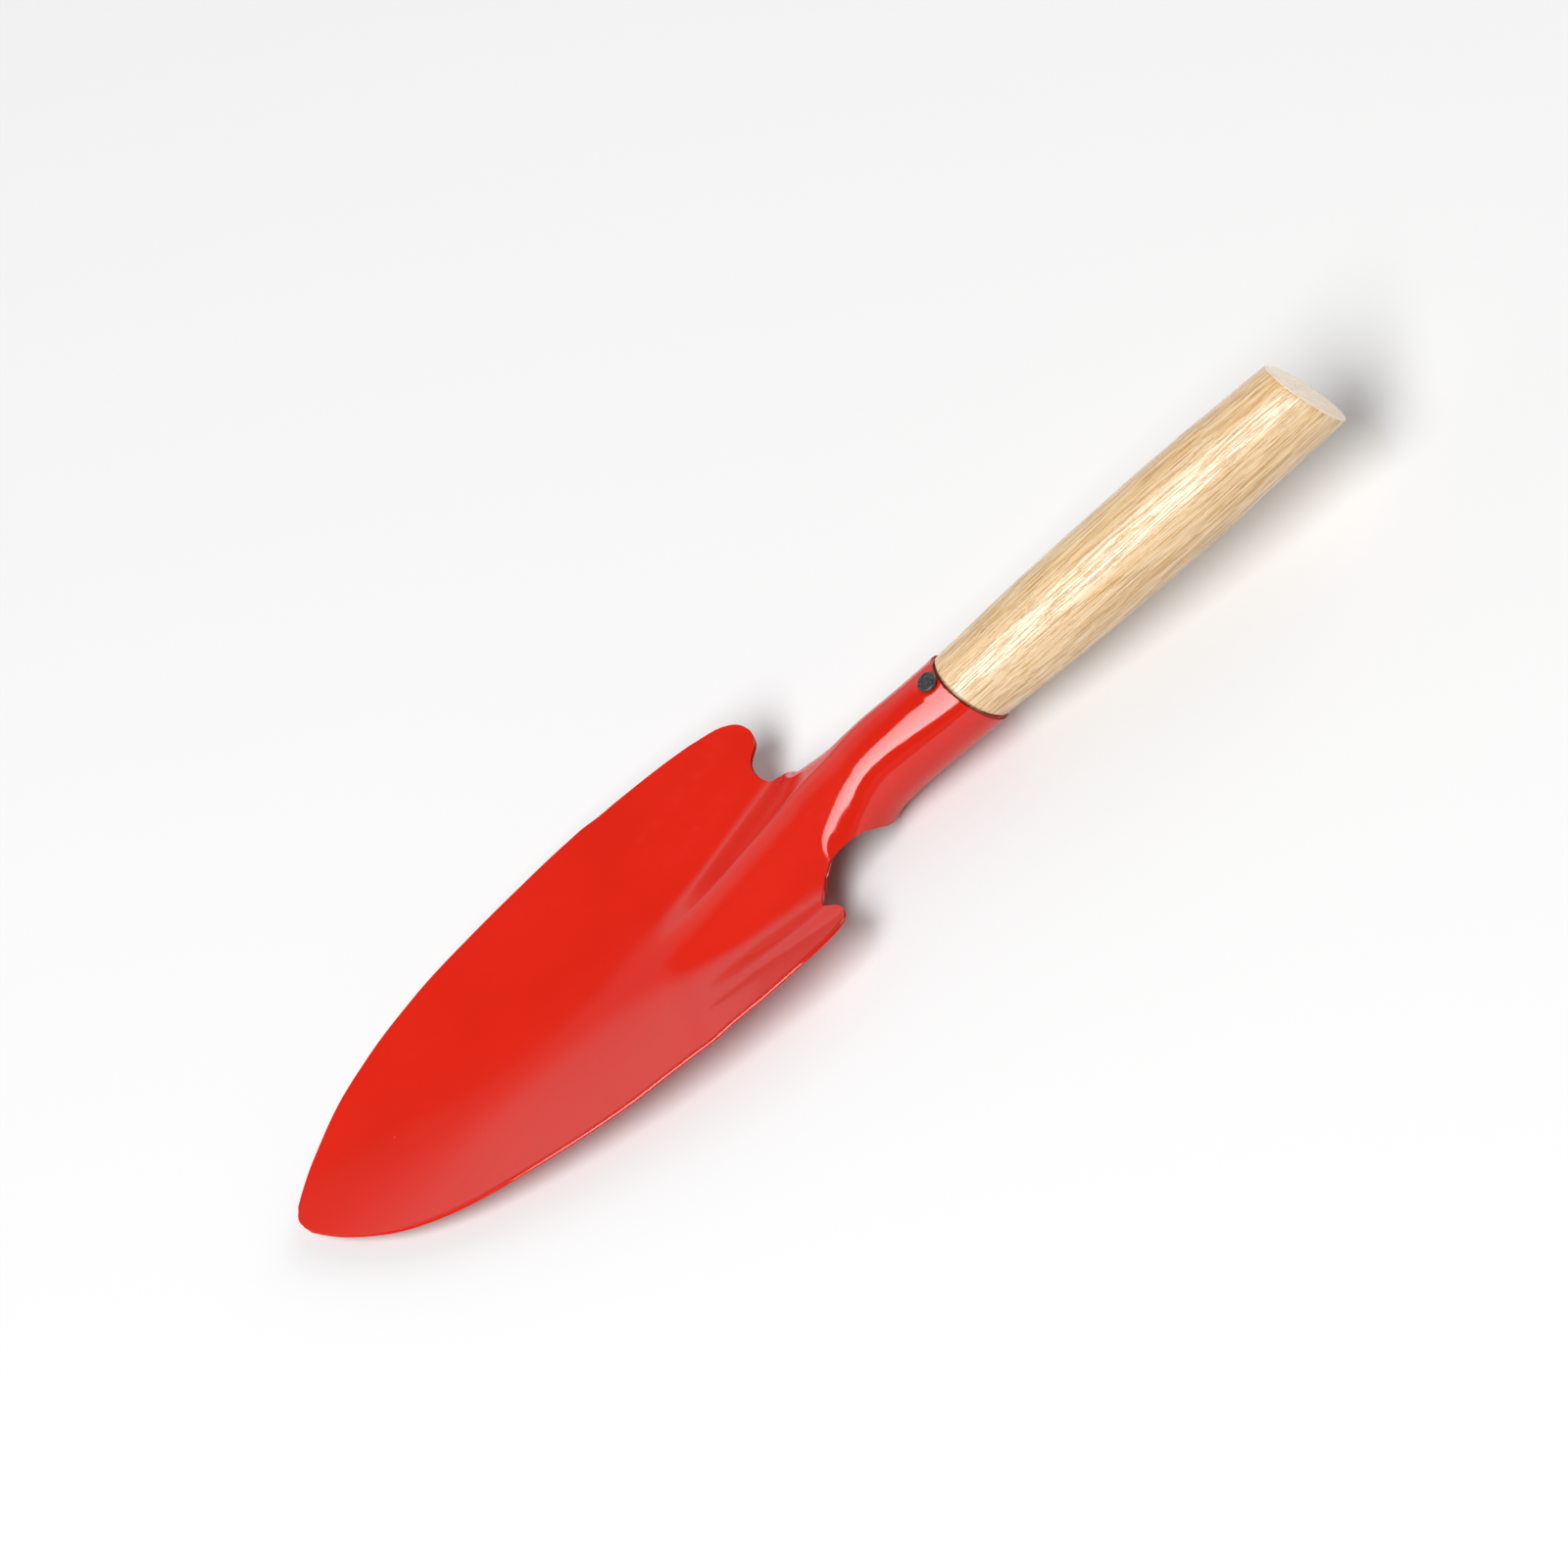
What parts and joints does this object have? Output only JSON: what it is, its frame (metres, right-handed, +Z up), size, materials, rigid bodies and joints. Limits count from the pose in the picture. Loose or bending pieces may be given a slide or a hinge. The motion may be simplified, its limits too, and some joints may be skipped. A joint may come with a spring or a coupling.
{
  "type": "hand trowel",
  "caption": "Garden hand trowel: shallow pointed pressed-steel blade with notched shoulders and a rolled socket, nailed to a short turned wooden handle.",
  "frame": {"origin": "centre of the bounding box on the surface that the trowel lies on", "axes": "+X from the blade's tip to the butt of the handle, +Z up with the hollow side of the blade facing up, +Y to the left when looking from the butt's end along +X"},
  "size_m": [0.2604, 0.0704, 0.03],
  "materials": {
    "enamelled_sheet": "glossy bright red enamel over pressed sheet steel",
    "turned_wood": "pale straight-grained hardwood, satin varnish",
    "black_steel": "blackened steel, semi-gloss"
  },
  "bodies": {
    "root": {"blade_and_socket": "enamelled_sheet", "handle": "turned_wood", "nail": "black_steel"}
  },
  "joints": []
}
